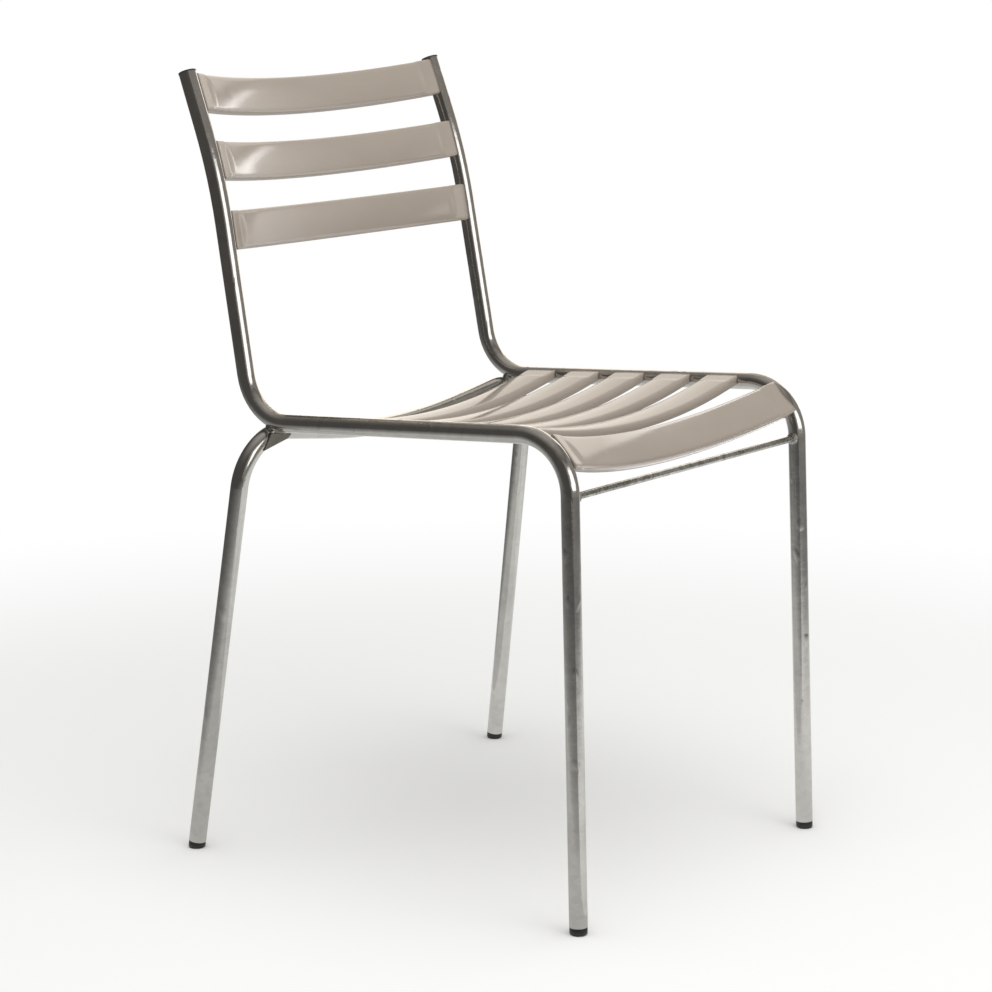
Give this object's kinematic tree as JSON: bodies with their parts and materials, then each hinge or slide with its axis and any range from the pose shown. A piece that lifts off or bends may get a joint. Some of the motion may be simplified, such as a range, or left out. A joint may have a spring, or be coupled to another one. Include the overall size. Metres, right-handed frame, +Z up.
{
  "type": "garden chair",
  "caption": "Stacking garden side chair: bent galvanised steel tube frame carrying dished glass-fibre slats for the seat and the reclined back.",
  "frame": {"origin": "on the floor, under the middle of the chair's outer box", "axes": "+Z up; the sitter faces -Y; +X is the sitter's left"},
  "size_m": [0.5184, 0.5506, 0.8017],
  "materials": {
    "galvanised_tube": "hot-dip galvanised, satin",
    "galvanised_rod": "hot-dip galvanised, satin",
    "weld_bead": "galvanised weld",
    "slat": "glossy gel-coated glass fibre",
    "lug": "hot-dip galvanised, satin",
    "screw": "plain stainless",
    "glide": "moulded black",
    "end_plug": "moulded dark grey"
  },
  "bodies": {
    "root": {"right_side_tube": "galvanised_tube", "left_side_tube": "galvanised_tube", "rear_leg_tube": "galvanised_tube", "front_cross_rod": "galvanised_rod", "front_rod_welds": "weld_bead", "rear_joint_welds": "weld_bead", "back_slat_top": "slat", "back_slat_middle": "slat", "back_slat_bottom": "slat", "seat_slat_1": "slat", "seat_slat_2": "slat", "seat_slat_3": "slat", "seat_slat_4": "slat", "seat_slat_5": "slat", "seat_slat_6": "slat", "back_slat_lugs": "lug", "seat_slat_lugs": "lug", "back_slat_screws": "screw", "seat_slat_screws": "screw", "front_right_glide": "glide", "front_left_glide": "glide", "rear_right_glide": "glide", "rear_left_glide": "glide", "right_end_plug": "end_plug", "left_end_plug": "end_plug"}
  },
  "joints": []
}
